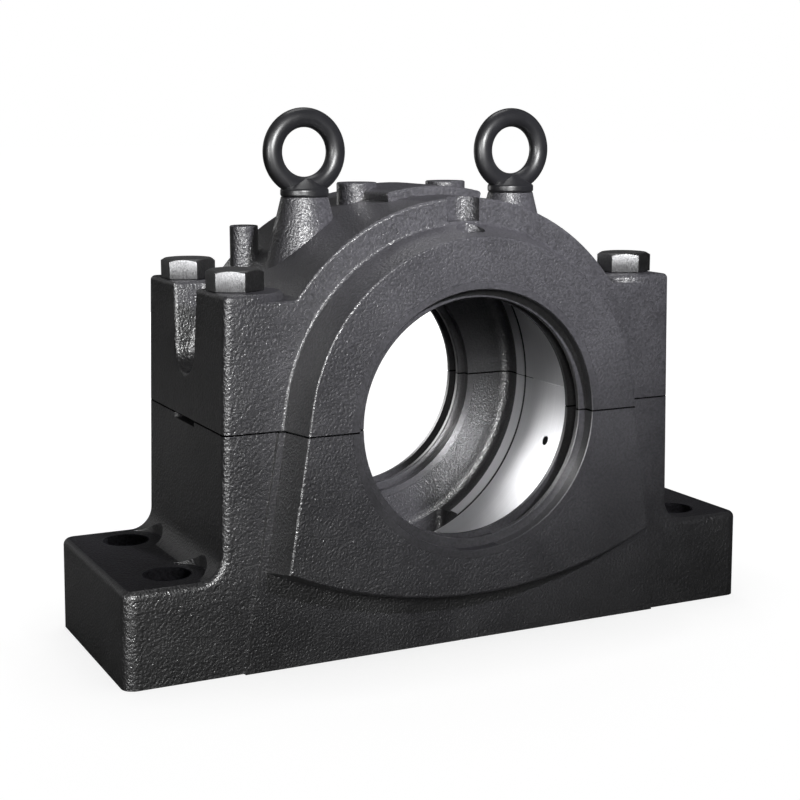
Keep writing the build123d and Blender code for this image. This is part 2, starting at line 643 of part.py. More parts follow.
def grease_cuts():
    # A notch in the drum's rim clears the grease nipple, which screws in on the collar.
    notch_floor = CENTRE_HEIGHT + COLLAR_ROOT_RADIUS + NOTCH_FLOOR_RISE
    notch = upright(NOTCH_RADIUS, 0, -BODY_HALF_WIDTH, notch_floor, notch_floor + 2 * PAST)
    y = COLLAR_FACE_Y - COUNTERBORE_DEPTH - SEAL_LIP_WIDTH - SEAL_GROOVE_WIDTH / 2
    spot_floor = CENTRE_HEIGHT + COLLAR_ROOT_RADIUS - GREASE_SPOT_DROP
    spot = upright(GREASE_SPOT_RADIUS, 0, -y, spot_floor, spot_floor + 2 * PAST)
    hole = upright(GREASE_HOLE_RADIUS, 0, -y, CENTRE_HEIGHT + SEAL_BORE_RADIUS, spot_floor + PAST)
    return [cut for one in (notch, spot, hole) for cut in on_both_sides(one)]


def tapped_cuts():
    cuts = []
    hole_radius = EYE_THREAD_RADIUS + FIT_CLEARANCE
    hole_floor = EYE_SEAT_HEIGHT - EYE_THREAD_LENGTH - EYE_HOLE_EXTRA_DEPTH
    for x in (-EYE_X, EYE_X):
        cuts.append(upright(hole_radius, x, 0, hole_floor, EYE_SEAT_HEIGHT + PAST))
    top = side_boss_top()
    cuts.append(upright(PLUG_RADIUS, SIDE_BOSS_X, SIDE_BOSS_Y, top - PLUG_LENGTH, top + PAST))
    return cuts


def cap_housing():
    block = extrude(BORE_PLANE * cap_outline(), BODY_HALF_WIDTH, both=True)
    block = fillet(block.edges().filter_by(is_cap_corner), CASTING_EDGE_RADIUS)
    block = fillet(block.edges().filter_by(is_drum_rim), DRUM_EDGE_RADIUS)
    recess = end_recess()
    for pad in bolt_pads(recess):
        block = block + pad
    for scoop in on_both_ends(rounded_recess(recess)):
        block = block - scoop
    for x in (-EYE_X, EYE_X):
        block = block + eye_boss(x)
    block = block + side_boss()
    block = block + crown()
    for part in blank_bosses():
        block = block + part
    for part in on_both_sides(collar()):
        block = block + part
    block = split(block, bisect_by=JOINT_PLANE, keep=Keep.TOP)
    block = fillet(block.edges().filter_by(is_collar_root), COLLAR_ROOT_FILLET)
    block = block - housing_core()
    for cut in joint_cuts_above() + grease_cuts() + tapped_cuts():
        block = block - cut
    return chamfer_joint(block)


def cap_bolt(x, y):
    # Hexagon head with its turned chamfer, and a shank through the cap into the base.
    flat = BOLT_HEAD_ACROSS_FLATS / 2
    head = extrude(Rot(0, 0, 30) * RegularPolygon(flat, 6, major_radius=False), BOLT_HEAD_HEIGHT)
    top = flat * BOLT_HEAD_TOP_SHARE
    spread = BOLT_HEAD_HEIGHT / tan(radians(BOLT_HEAD_CHAMFER_ANGLE))
    up = (Align.CENTER, Align.CENTER, Align.MIN)
    turned = Cone(top + spread, top, BOLT_HEAD_HEIGHT, align=up)
    length = PAD_HEIGHT - CENTRE_HEIGHT + BOLT_ENGAGEMENT
    shank = Cylinder(BOLT_RADIUS, length, align=(Align.CENTER, Align.CENTER, Align.MAX))
    shank = chamfer(shank.edges().sort_by(Axis.Z)[0], BOLT_TIP_CHAMFER)
    return Pos(x, y, PAD_HEIGHT) * (head & turned) + Pos(x, y, PAD_HEIGHT) * shank


def eye_bolt(x):
    # Thread, collar and a conical neck turned in one, with the forged ring standing on it.
    into_ring = sqrt(EYE_SECTION_RADIUS ** 2 - EYE_NECK_TOP_RADIUS ** 2)
    neck_top = EYE_RING_RISE - EYE_RING_RADIUS + into_ring
    section = make_face(Polyline(
        (0, -EYE_THREAD_LENGTH),
        (EYE_THREAD_RADIUS - EYE_THREAD_CHAMFER, -EYE_THREAD_LENGTH),
        (EYE_THREAD_RADIUS, -EYE_THREAD_LENGTH + EYE_THREAD_CHAMFER),
        (EYE_THREAD_RADIUS, 0),
        (EYE_COLLAR_RADIUS, 0),
        (EYE_COLLAR_RADIUS, EYE_COLLAR_HEIGHT),
        (EYE_NECK_TOP_RADIUS, neck_top),
        (0, neck_top),
        close=True,
    ))
    rim = section.vertices().filter_by(lambda v: abs(v.X - EYE_COLLAR_RADIUS) < NEAR)
    section = fillet(rim, EYE_COLLAR_EDGE_RADIUS)
    stem = revolve(Plane.XZ * section, Axis.Z)
    ring = Pos(0, 0, EYE_RING_RISE) * Rot(90, 0, 0) * Torus(EYE_RING_RADIUS, EYE_SECTION_RADIUS)
    return Pos(x, 0, EYE_SEAT_HEIGHT) * (stem + ring)


def dowel(x):
    pin = Cylinder(DOWEL_RADIUS, 2 * DOWEL_HALF_LENGTH)
    pin = chamfer(pin.edges().filter_by(GeomType.CIRCLE), DOWEL_CHAMFER)
    return Pos(x, 0, CENTRE_HEIGHT) * pin


def socket_plug():
    # A headless screw plug with a hexagon socket, its outer face at height 0.
    align = (Align.CENTER, Align.CENTER, Align.MAX)
    body = Cylinder(PLUG_RADIUS - FIT_CLEARANCE, PLUG_LENGTH, align=align)
    body = chamfer(body.edges().filter_by(GeomType.CIRCLE), PLUG_CHAMFER)
    key = RegularPolygon(PLUG_SOCKET_ACROSS_FLATS / 2, 6, major_radius=False)
    return body - extrude(key, -PLUG_SOCKET_DEPTH)


def main():
    nodes = {"base_housing": base_housing(), "cap_housing": cap_housing()}
    for x, y in bolt_places():
        side = "left" if x < 0 else "right"
        row = "front" if y < 0 else "rear"
        nodes[f"cap_bolt_{row}_{side}"] = cap_bolt(x, y)
    for side, sign in (("left", -1), ("right", 1)):
        nodes[f"eye_bolt_{side}"] = eye_bolt(sign * EYE_X)
        nodes[f"dowel_{side}"] = dowel(sign * DOWEL_X)
    nodes["boss_plug"] = Pos(SIDE_BOSS_X, SIDE_BOSS_Y, side_boss_top()) * socket_plug()
    nodes["sensor_plug"] = sensor_frame().offset(sensor_spot_distance()).location * socket_plug()
    os.makedirs("parts", exist_ok=True)
    for name, solid in nodes.items():
        solid.label = name
        export_step(solid, f"parts/{name}.step")


main()
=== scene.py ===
import bpy
import bmesh
import math
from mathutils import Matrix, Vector


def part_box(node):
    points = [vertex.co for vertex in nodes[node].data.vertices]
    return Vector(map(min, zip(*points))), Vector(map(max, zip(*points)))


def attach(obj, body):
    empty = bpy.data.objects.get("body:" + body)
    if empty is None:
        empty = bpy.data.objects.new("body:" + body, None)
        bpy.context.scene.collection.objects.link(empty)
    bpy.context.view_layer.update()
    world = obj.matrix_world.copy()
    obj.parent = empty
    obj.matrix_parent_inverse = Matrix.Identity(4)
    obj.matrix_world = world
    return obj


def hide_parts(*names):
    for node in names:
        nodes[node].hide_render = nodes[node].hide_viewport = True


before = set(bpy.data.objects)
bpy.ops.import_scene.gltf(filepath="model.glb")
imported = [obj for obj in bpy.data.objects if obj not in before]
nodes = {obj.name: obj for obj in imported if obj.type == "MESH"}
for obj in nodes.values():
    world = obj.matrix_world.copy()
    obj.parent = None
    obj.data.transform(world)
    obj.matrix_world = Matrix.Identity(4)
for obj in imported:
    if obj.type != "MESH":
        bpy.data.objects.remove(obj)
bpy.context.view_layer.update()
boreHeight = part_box("base_housing")[1].z  # the base ends at the joint, on the shaft line


def startMaterial(name):
    mat = bpy.data.materials.new(name)
    mat.use_nodes = True
    tree = mat.node_tree
    shader = tree.nodes["Principled BSDF"]
    place = tree.nodes.new("ShaderNodeTexCoord")
    return mat, tree, shader, place.outputs["Object"]


def mathNode(tree, operation, a, b=None, clamp=False):
    node = tree.nodes.new("ShaderNodeMath")
    node.operation = operation
    node.use_clamp = clamp
    for socket, value in zip(node.inputs, (a, b)):
        if value is None:
            continue
        if isinstance(value, (int, float)):
            socket.default_value = value
        else:
            tree.links.new(value, socket)
    return node.outputs[0]


def noise(tree, vector, scale, detail=2.0, rough=0.5):
    node = tree.nodes.new("ShaderNodeTexNoise")
    node.inputs["Scale"].default_value = scale
    node.inputs["Detail"].default_value = detail
    node.inputs["Roughness"].default_value = rough
    tree.links.new(vector, node.inputs["Vector"])
    return node.outputs["Fac"]


def spread(tree, value, low, high, fromLow=0.3, fromHigh=0.7):
    node = tree.nodes.new("ShaderNodeMapRange")
    node.inputs["From Min"].default_value = fromLow
    node.inputs["From Max"].default_value = fromHigh
    node.inputs["To Min"].default_value = low
    node.inputs["To Max"].default_value = high
    tree.links.new(value, node.inputs["Value"])
    return node.outputs["Result"]


def bump(tree, height, depth, normal=None):
    node = tree.nodes.new("ShaderNodeBump")
    node.inputs["Distance"].default_value = depth
    node.inputs["Strength"].default_value = 1.0
    tree.links.new(height, node.inputs["Height"])
    if normal is not None:
        tree.links.new(normal, node.inputs["Normal"])
    return node.outputs["Normal"]


def stretched(tree, vector, scale, turn=(0, 0, 0)):
    node = tree.nodes.new("ShaderNodeMapping")
    node.inputs["Scale"].default_value = scale
    node.inputs["Rotation"].default_value = turn
    tree.links.new(vector, node.inputs["Vector"])
    return node.outputs["Vector"]


def mixColour(tree, factor, a, b):
    node = tree.nodes.new("ShaderNodeMix")
    node.data_type = "RGBA"
    tree.links.new(factor, node.inputs["Factor"])
    for socket, value in ((node.inputs[6], a), (node.inputs[7], b)):
        if isinstance(value, tuple):
            socket.default_value = (*value, 1.0)
        else:
            tree.links.new(value, socket)
    return node.outputs[2]


def mixValue(tree, factor, a, b):
    node = tree.nodes.new("ShaderNodeMix")
    node.data_type = "FLOAT"
    tree.links.new(factor, node.inputs["Factor"])
    for socket, value in ((node.inputs[2], a), (node.inputs[3], b)):
        if isinstance(value, (int, float)):
            socket.default_value = value
        else:
            tree.links.new(value, socket)
    return node.outputs[0]


def shade(colour, factor):
    return tuple(channel * factor for channel in colour)


def inside(tree, value, low, high):
    above = mathNode(tree, "GREATER_THAN", value, low)
    below = mathNode(tree, "LESS_THAN", value, high)
    return mathNode(tree, "MULTIPLY", above, below)


def shaftPlace(tree, place):
    # Distance from the shaft line, distance from the middle plane, and height over the joint.
    split = tree.nodes.new("ShaderNodeSeparateXYZ")
    tree.links.new(place, split.inputs[0])
    rise = mathNode(tree, "SUBTRACT", split.outputs["Z"], boreHeight)
    across = mathNode(tree, "POWER", split.outputs["X"], 2.0)
    square = mathNode(tree, "ADD", across, mathNode(tree, "MULTIPLY", rise, rise))
    radius = mathNode(tree, "SQRT", square)
    return radius, mathNode(tree, "ABSOLUTE", split.outputs["Y"]), rise


def facing(tree, axis):
    # 1 on a face square to the given axis, whichever way it looks.
    geometry = tree.nodes.new("ShaderNodeNewGeometry")
    split = tree.nodes.new("ShaderNodeSeparateXYZ")
    tree.links.new(geometry.outputs["True Normal"], split.inputs[0])
    return mathNode(tree, "GREATER_THAN", mathNode(tree, "ABSOLUTE", split.outputs[axis]), 0.98)


def flankRoll(tree, place):
    # Height of the flanks, which round off a little towards the four upright corners.
    split = tree.nodes.new("ShaderNodeSeparateXYZ")
    tree.links.new(place, split.inputs[0])
    inward = mathNode(tree, "ABSOLUTE", split.outputs["X"])
    near = spread(tree, inward, 0.0, 1.0, enamel["rollEnd"] - enamel["rollWidth"], enamel["rollEnd"])
    raised = spread(tree, split.outputs["Z"], 0.0, -1.0, *enamel["rollFrom"])
    eased = mathNode(tree, "MULTIPLY", near, near)
    return mathNode(tree, "MULTIPLY", eased, raised)


enamel = {
    "colour": (0.045, 0.0440, 0.0505),
    "roughness": (0.40, 0.50),     # smooth patches, dull patches
    "patchScale": 14.0,            # patches, per metre
    "patchShade": (0.85, 1.15),
    "specular": 0.9,
    "coat": 0.5,
    "coatRoughness": 0.17,
    "topDull": 0.85,               # gloss lost on level faces, where dust settles
    "peelScale": 390.0,            # dimples of the casting under the enamel, per metre
    "peelDepth": 0.0010,
    "peelPaintedShading": (0.66, 1.32),     # painted shade in the hollows of the skin, and painted highlight on its crests
    "swellScale": 45.0,
    "swellDepth": 0.0006,
    "rollEnd": 0.258,              # the flanks round off over the last stretch before their ends
    "rollWidth": 0.034,
    "rollDepth": 0.0018,
    "rollFrom": (0.078, 0.115),    # height over which the roll-off fades in above the feet
    "smoothBore": 0.1405,          # no casting skin inside this radius round the shaft line
    "seamBand": 0.0008,            # dark line where the two halves meet
    "seamShade": 0.12,
}
seatFinish = {
    "colour": (0.80, 0.80, 0.82),
    "lineShade": 0.88,
    "roughness": (0.34, 0.44),
    "lineScale": 1500.0,           # turning lines, per metre along the shaft
    "lineRun": 4.0,                # and across it, so that they run on round the bore
    "lineDepth": 0.00003,
    "radius": (0.1842, 0.18595),   # turned bright between these radii
    "halfLength": 0.0862,
}
jointFinish = {
    "colour": (0.42, 0.42, 0.43),
    "roughness": 0.34,
    "band": 0.0004,
}
footHole = {
    "middle": (0.3025, 0.070),     # from the centre, along and across
    "radius": 0.0245,
}


def inFootHole(tree, place):
    split = tree.nodes.new("ShaderNodeSeparateXYZ")
    tree.links.new(place, split.inputs[0])
    squares = []
    for axis, middle in zip("XY", footHole["middle"]):
        away = mathNode(tree, "SUBTRACT", mathNode(tree, "ABSOLUTE", split.outputs[axis]), middle)
        squares.append(mathNode(tree, "POWER", away, 2.0))
    return mathNode(tree, "LESS_THAN", mathNode(tree, "ADD", *squares), footHole["radius"] ** 2)


def enamelColour(tree, patch, peel, seam):
    # Uneven black, with painted shade in the hollows of the skin and painted highlight on its crests,
    # and nearly lost in the seam.
    dark, pale = (shade(enamel["colour"], share) for share in enamel["patchShade"])
    paint = mixColour(tree, spread(tree, patch, 0.0, 1.0), dark, pale)
    # painted shade and highlight: the paint is darkened in the skin's hollows and lightened on its
    # crests
    scaled = tree.nodes.new("ShaderNodeVectorMath")
    scaled.operation = "SCALE"
    tree.links.new(paint, scaled.inputs[0])
    tree.links.new(spread(tree, peel, *enamel["peelPaintedShading"]), scaled.inputs["Scale"])
    return mixColour(tree, seam, scaled.outputs["Vector"], shade(enamel["colour"], enamel["seamShade"]))


def castingFinish():
    # Black enamel over a sand-cast skin; the bearing seat and the joint faces are machined bright.
    mat, tree, shader, place = startMaterial("castingEnamel")
    peel = noise(tree, place, enamel["peelScale"])
    swell = noise(tree, place, enamel["swellScale"])
    patch = noise(tree, place, enamel["patchScale"], 3.0, 0.6)
    radius, depth, rise = shaftPlace(tree, place)
    offJoint = mathNode(tree, "ABSOLUTE", rise)
    level = facing(tree, "Z")

    seatLength = mathNode(tree, "LESS_THAN", depth, seatFinish["halfLength"])
    seat = mathNode(tree, "MULTIPLY", inside(tree, radius, *seatFinish["radius"]), seatLength)
    nearJoint = mathNode(tree, "LESS_THAN", offJoint, jointFinish["band"])
    milled = mathNode(tree, "MAXIMUM", seat, mathNode(tree, "MULTIPLY", nearJoint, level))
    seam = mathNode(tree, "LESS_THAN", offJoint, enamel["seamBand"])

    run = seatFinish["lineRun"]
    drawn = stretched(tree, place, (run, seatFinish["lineScale"], run))
    lines = noise(tree, drawn, 1.0, 3.0, 0.6)
    grooved = shade(seatFinish["colour"], seatFinish["lineShade"])
    turnedColour = mixColour(tree, spread(tree, lines, 0.0, 1.0), grooved, seatFinish["colour"])
    turnedRoughness = spread(tree, lines, *seatFinish["roughness"])
    bare = mixColour(tree, seat, jointFinish["colour"], turnedColour)
    bareRoughness = mixValue(tree, seat, jointFinish["roughness"], turnedRoughness)

    paint = enamelColour(tree, patch, peel, seam)
    dull = spread(tree, patch, *enamel["roughness"])
    tree.links.new(mixColour(tree, milled, paint, bare), shader.inputs["Base Color"])
    tree.links.new(mixValue(tree, milled, dull, bareRoughness), shader.inputs["Roughness"])
    tree.links.new(milled, shader.inputs["Metallic"])

    matt = mathNode(tree, "MAXIMUM", seam, inFootHole(tree, place))
    matt = mathNode(tree, "MAXIMUM", matt, mathNode(tree, "MULTIPLY", level, enamel["topDull"]))
    painted = mathNode(tree, "SUBTRACT", 1.0, milled)
    coated = mathNode(tree, "SUBTRACT", painted, matt, True)
    tree.links.new(mathNode(tree, "MULTIPLY", coated, enamel["coat"]), shader.inputs["Coat Weight"])
    shader.inputs["Coat Roughness"].default_value = enamel["coatRoughness"]
    shine = mathNode(tree, "MULTIPLY", mathNode(tree, "SUBTRACT", 1.0, matt), enamel["specular"])
    tree.links.new(shine, shader.inputs["Specular IOR Level"])

    bored = mathNode(tree, "LESS_THAN", radius, enamel["smoothBore"])
    rough = mathNode(tree, "SUBTRACT", 1.0, mathNode(tree, "MAXIMUM", milled, bored))
    coarse = bump(tree, mathNode(tree, "MULTIPLY", swell, rough), enamel["swellDepth"])
    coarse = bump(tree, flankRoll(tree, place), enamel["rollDepth"], coarse)
    fine = bump(tree, mathNode(tree, "MULTIPLY", peel, rough), enamel["peelDepth"], coarse)
    turned = bump(tree, mathNode(tree, "MULTIPLY", lines, seat), seatFinish["lineDepth"], fine)
    tree.links.new(turned, shader.inputs["Normal"])
    tree.links.new(fine, shader.inputs["Coat Normal"])
    return mat


eyePaint = {
    "colour": (0.012, 0.012, 0.014),
    "darkShade": 0.8,
    "patchScale": 40.0,
    "roughness": (0.32, 0.42),
    "specular": 1.0,
    "scaleSize": 180.0,            # hammer scale left by the forging, per metre
    "scaleDepth": 0.00010,
}


def eyeFinish():
    mat, tree, shader, place = startMaterial("eyeEnamel")
    patch = noise(tree, place, eyePaint["patchScale"], 3.0, 0.6)
    dark = shade(eyePaint["colour"], eyePaint["darkShade"])
    colour = mixColour(tree, spread(tree, patch, 0.0, 1.0), dark, eyePaint["colour"])
    tree.links.new(colour, shader.inputs["Base Color"])
    tree.links.new(spread(tree, patch, *eyePaint["roughness"]), shader.inputs["Roughness"])
    shader.inputs["Specular IOR Level"].default_value = eyePaint["specular"]
    skin = bump(tree, noise(tree, place, eyePaint["scaleSize"]), eyePaint["scaleDepth"])
    tree.links.new(skin, shader.inputs["Normal"])
    return mat


steel = {
    "colour": (0.27, 0.27, 0.275),
    "wornShade": 0.45,
    "stainScale": 90.0,
    "stainShade": 0.6,
    "topPaintedShade": 0.35,                   # painted shade: the top of the head is painted darker, and it is dull
    "topRoughness": 0.8,
    "roughness": (0.34, 0.54),
    "grain": (900.0, 900.0, 300.0),     # strokes per metre, drawn out along a slant
    "slant": (0.5, 0.35, 0.6),
    "grainDepth": 0.00030,
}


def boltFinish():
    mat, tree, shader, place = startMaterial("boltSteel")
    grain = noise(tree, stretched(tree, place, steel["grain"], steel["slant"]), 1.0, 3.0, 0.65)
    stain = spread(tree, noise(tree, place, steel["stainScale"], 3.0, 0.6), 0.0, 0.6)
    top = facing(tree, "Z")
    worn = shade(steel["colour"], steel["wornShade"])
    colour = mixColour(tree, spread(tree, grain, 0.0, 1.0), worn, steel["colour"])
    colour = mixColour(tree, stain, colour, shade(steel["colour"], steel["stainShade"]))
    # painted shade: the head's top face is painted darker
    colour = mixColour(tree, top, colour, shade(steel["colour"], steel["topPaintedShade"]))
    tree.links.new(colour, shader.inputs["Base Color"])
    dull = mixValue(tree, top, spread(tree, grain, *steel["roughness"]), steel["topRoughness"])
    tree.links.new(dull, shader.inputs["Roughness"])
    shader.inputs["Metallic"].default_value = 1.0
    tree.links.new(bump(tree, grain, steel["grainDepth"]), shader.inputs["Normal"])
    return mat


smallSteel = {
    "dowelColour": (0.6, 0.6, 0.61),
    "dowelRoughness": 0.22,
    "plugColour": (0.12, 0.12, 0.125),
    "plugRoughness": 0.4,
    "grainScale": 500.0,
    "grainShade": 0.85,
    "grainDepth": 0.00003,
}


def plainSteel(name, colour, roughness):
    mat, tree, shader, place = startMaterial(name)
    grain = noise(tree, place, smallSteel["grainScale"])
    dark = shade(colour, smallSteel["grainShade"])
    tone = mixColour(tree, spread(tree, grain, 0.0, 1.0), dark, colour)
    tree.links.new(tone, shader.inputs["Base Color"])
    shader.inputs["Roughness"].default_value = roughness
    shader.inputs["Metallic"].default_value = 1.0
    tree.links.new(bump(tree, grain, smallSteel["grainDepth"]), shader.inputs["Normal"])
    return mat


def dress(name, mat):
    node = nodes[name]
    node.data.materials.clear()
    node.data.materials.append(mat)
    node.data.polygons.foreach_set("material_index", [0] * len(node.data.polygons))


boltMat = boltFinish()
dowelMat = plainSteel("dowelSteel", smallSteel["dowelColour"], smallSteel["dowelRoughness"])
plugMat = plainSteel("plugSteel", smallSteel["plugColour"], smallSteel["plugRoughness"])
dressings = (
    (castingFinish(), ("base_housing", "cap_housing")),
    (eyeFinish(), ("eye_bolt_left", "eye_bolt_right")),
    (dowelMat, ("dowel_left", "dowel_right")),
    (plugMat, ("boss_plug", "sensor_plug")),
)
for mat, names in dressings:
    for name in names:
        dress(name, mat)
print("finishes set")

capScrew = {
    "headHeight": 0.021,
    "washerFace": (0.0235, 0.0006),   # radius and height of the turned face under the head
    "topShare": 0.97,                 # turned circle on the head, as a share of the flats
    "chamferAngle": 30.0,
    "shankRadius": 0.0165,
    "threadLength": 0.078,
    "pitch": 0.0035,
    "threadDepth": 0.0021,
    "segments": 72,
    "edgeRound": 0.0005,
    "edgeAngle": 25.0,                # edges sharper than this are rounded
    "sharpAngle": 28.0,               # and those left sharper than this are shaded sharp
}
threadForm = {
    "rows": 7,                        # points across one pitch
    "flankGain": 1.3,                 # slope of the flanks, steeper than a plain vee
    "crestFlat": 0.15,                # flat left on the crests
    "runOut": 1.5,                    # pitches over which the last turn fades
    "weld": 0.00001,
}


def ringOf(mesh, centre, radiusAt, heightAt):
    count = capScrew["segments"]
    ring = []
    for step in range(count):
        angle = 2 * math.pi * step / count
        out = radiusAt(angle)
        place = (centre.x + out * math.cos(angle), centre.y + out * math.sin(angle), heightAt(out))
        ring.append(mesh.verts.new(place))
    return ring


def joinRings(mesh, low, high):
    count = len(low)
    for step in range(count):
        after = (step + 1) % count
        mesh.faces.new((low[step], low[after], high[after], high[step]))


def screwOutlines(low, high):
    # From the thread up: each ring has a radius for an angle, and a height for a radius.
    flat = (high.x - low.x) / 2
    threadTop = low.z + capScrew["threadLength"]
    seatHeight = high.z - capScrew["headHeight"]
    faceRadius, faceHeight = capScrew["washerFace"]
    topRadius = flat * capScrew["topShare"]
    slope = math.tan(math.radians(capScrew["chamferAngle"]))
    sixth = math.pi / 3

    def hexagon(angle):
        return flat / math.cos((angle + sixth / 2) % sixth - sixth / 2)

    def chamfer(radius):
        return high.z - (radius - topRadius) * slope

    def turned(radius):
        return lambda angle: radius

    def level(height):
        return lambda radius: height

    return [
        (turned(capScrew["shankRadius"]), level(threadTop)),
        (turned(capScrew["shankRadius"]), level(seatHeight)),
        (turned(faceRadius), level(seatHeight)),
        (turned(faceRadius), level(seatHeight + faceHeight)),
        (hexagon, level(seatHeight + faceHeight)),
        (hexagon, chamfer),
        (turned(topRadius), level(high.z)),
    ]


def screwBlank(low, high):
    # Hexagon head, turned washer face and plain shank, open where the thread begins.
    mesh = bmesh.new()
    centre = (low + high) / 2
    rings = [ringOf(mesh, centre, *outline) for outline in screwOutlines(low, high)]
    for below, above in zip(rings, rings[1:]):
        joinRings(mesh, below, above)
    mesh.faces.new(rings[-1])
    data = bpy.data.meshes.new("blank")
    mesh.to_mesh(data)
    mesh.free()
    return data


def woundStrip(tree, given, tip):
    # A strip one pitch wide, wound into a helix, flat at the tip and fading out at its top.
    link = tree.links.new
    turns = mathNode(tree, "ADD", mathNode(tree, "DIVIDE", given["Length"], given["Pitch"]), 1.0)
    turns = mathNode(tree, "CEIL", turns)
    columns = mathNode(tree, "ADD", mathNode(tree, "MULTIPLY", turns, given["Segments"]), 1.0)
    strip = tree.nodes.new("GeometryNodeMeshGrid")
    link(columns, strip.inputs["Vertices X"])
    strip.inputs["Vertices Y"].default_value = threadForm["rows"]
    at = tree.nodes.new("ShaderNodeSeparateXYZ")
    link(tree.nodes.new("GeometryNodeInputPosition").outputs[0], at.inputs[0])

    turn = mathNode(tree, "MULTIPLY", mathNode(tree, "ADD", at.outputs["X"], 0.5), turns)
    across = mathNode(tree, "ADD", at.outputs["Y"], 0.5)
    rise = mathNode(tree, "SUBTRACT", mathNode(tree, "ADD", turn, across), 1.0)
    rise = mathNode(tree, "MULTIPLY", rise, given["Pitch"])
    height = mathNode(tree, "MINIMUM", mathNode(tree, "MAXIMUM", rise, 0.0), given["Length"])

    flank = mathNode(tree, "ABSOLUTE", mathNode(tree, "MULTIPLY", at.outputs["Y"], 2.0))
    flank = mathNode(tree, "MULTIPLY", flank, threadForm["flankGain"])
    groove = mathNode(tree, "SUBTRACT", flank, threadForm["crestFlat"], True)
    left = mathNode(tree, "SUBTRACT", given["Length"], height)
    fade = mathNode(tree, "MULTIPLY", given["Pitch"], threadForm["runOut"])
    runOut = mathNode(tree, "DIVIDE", left, fade, True)
    cut = mathNode(tree, "MULTIPLY", mathNode(tree, "MULTIPLY", groove, given["Depth"]), runOut)
    radius = mathNode(tree, "SUBTRACT", given["Radius"], cut)
    radius = mathNode(tree, "MINIMUM", radius, mathNode(tree, "ADD", tip, height))

    angle = mathNode(tree, "MULTIPLY", turn, 2 * math.pi)
    wound = tree.nodes.new("ShaderNodeCombineXYZ")
    link(mathNode(tree, "MULTIPLY", radius, mathNode(tree, "COSINE", angle)), wound.inputs["X"])
    link(mathNode(tree, "MULTIPLY", radius, mathNode(tree, "SINE", angle)), wound.inputs["Y"])
    link(height, wound.inputs["Z"])
    helix = tree.nodes.new("GeometryNodeSetPosition")
    link(strip.outputs["Mesh"], helix.inputs["Geometry"])
    link(wound.outputs[0], helix.inputs["Position"])
    return helix.outputs["Geometry"]


def joined(tree, *parts):
    node = tree.nodes.new("GeometryNodeJoinGeometry")
    for part in parts:
        tree.links.new(part, node.inputs[0])
    return node.outputs[0]


def threadTree():
    # The wound strip and its flat tip, moved into place and welded to the blank it is given.
    tree = bpy.data.node_groups.new("screwThread", "GeometryNodeTree")
    sockets = tree.interface
    sockets.new_socket("Geometry", in_out="INPUT", socket_type="NodeSocketGeometry")
    for label in ("Centre X", "Centre Y", "Tip Height", "Radius", "Pitch", "Depth", "Length"):
        sockets.new_socket(label, in_out="INPUT", socket_type="NodeSocketFloat")
    sockets.new_socket("Segments", in_out="INPUT", socket_type="NodeSocketInt")
    sockets.new_socket("Finish", in_out="INPUT", socket_type="NodeSocketMaterial")
    sockets.new_socket("Geometry", in_out="OUTPUT", socket_type="NodeSocketGeometry")
    given = tree.nodes.new("NodeGroupInput").outputs
    link = tree.links.new

    tip = mathNode(tree, "SUBTRACT", given["Radius"], given["Depth"])
    disc = tree.nodes.new("GeometryNodeMeshCircle")
    disc.fill_type = "NGON"
    link(given["Segments"], disc.inputs["Vertices"])
    link(tip, disc.inputs["Radius"])
    turned = tree.nodes.new("GeometryNodeFlipFaces")
    link(disc.outputs["Mesh"], turned.inputs["Mesh"])

    centre = tree.nodes.new("ShaderNodeCombineXYZ")
    link(given["Centre X"], centre.inputs["X"])
    link(given["Centre Y"], centre.inputs["Y"])
    link(given["Tip Height"], centre.inputs["Z"])
    moved = tree.nodes.new("GeometryNodeTransform")
    link(joined(tree, woundStrip(tree, given, tip), turned.outputs["Mesh"]), moved.inputs["Geometry"])
    link(centre.outputs[0], moved.inputs["Translation"])

    weld = tree.nodes.new("GeometryNodeMergeByDistance")
    weld.inputs["Distance"].default_value = threadForm["weld"]
    link(joined(tree, given["Geometry"], moved.outputs["Geometry"]), weld.inputs["Geometry"])
    real = tree.nodes.new("GeometryNodeRealizeInstances")
    link(weld.outputs["Geometry"], real.inputs["Geometry"])
    finish = tree.nodes.new("GeometryNodeSetMaterial")
    link(real.outputs["Geometry"], finish.inputs["Geometry"])
    link(given["Finish"], finish.inputs["Material"])
    result = tree.nodes.new("NodeGroupOutput")
    link(finish.outputs["Geometry"], result.inputs[0])
    return tree


def cutScrew(tree, low, high):
    # The blank with its edges rounded and its thread added, as one plain mesh.
    blank = bpy.data.objects.new("blank", screwBlank(low, high))
    bpy.context.scene.collection.objects.link(blank)
    bevel = blank.modifiers.new("edgeRound", "BEVEL")
    bevel.width = capScrew["edgeRound"]
    bevel.segments = 2
    bevel.limit_method = "ANGLE"
    bevel.angle_limit = math.radians(capScrew["edgeAngle"])
    thread = blank.modifiers.new("thread", "NODES")
    thread.node_group = tree
    centre = (low + high) / 2
    values = {
        "Centre X": centre.x,
        "Centre Y": centre.y,
        "Tip Height": low.z,
        "Radius": capScrew["shankRadius"],
        "Pitch": capScrew["pitch"],
        "Depth": capScrew["threadDepth"],
        "Length": capScrew["threadLength"],
        "Segments": capScrew["segments"],
        "Finish": boltMat,
    }
    for socket in tree.interface.items_tree:
        if socket.in_out == "INPUT" and socket.name in values:
            thread[socket.identifier] = values[socket.name]
    seen = blank.evaluated_get(bpy.context.evaluated_depsgraph_get())
    mesh = bpy.data.meshes.new_from_object(seen)
    bpy.data.objects.remove(blank)
    mesh.polygons.foreach_set("use_smooth", [True] * len(mesh.polygons))
    mesh.set_sharp_from_angle(angle=math.radians(capScrew["sharpAngle"]))
    return mesh


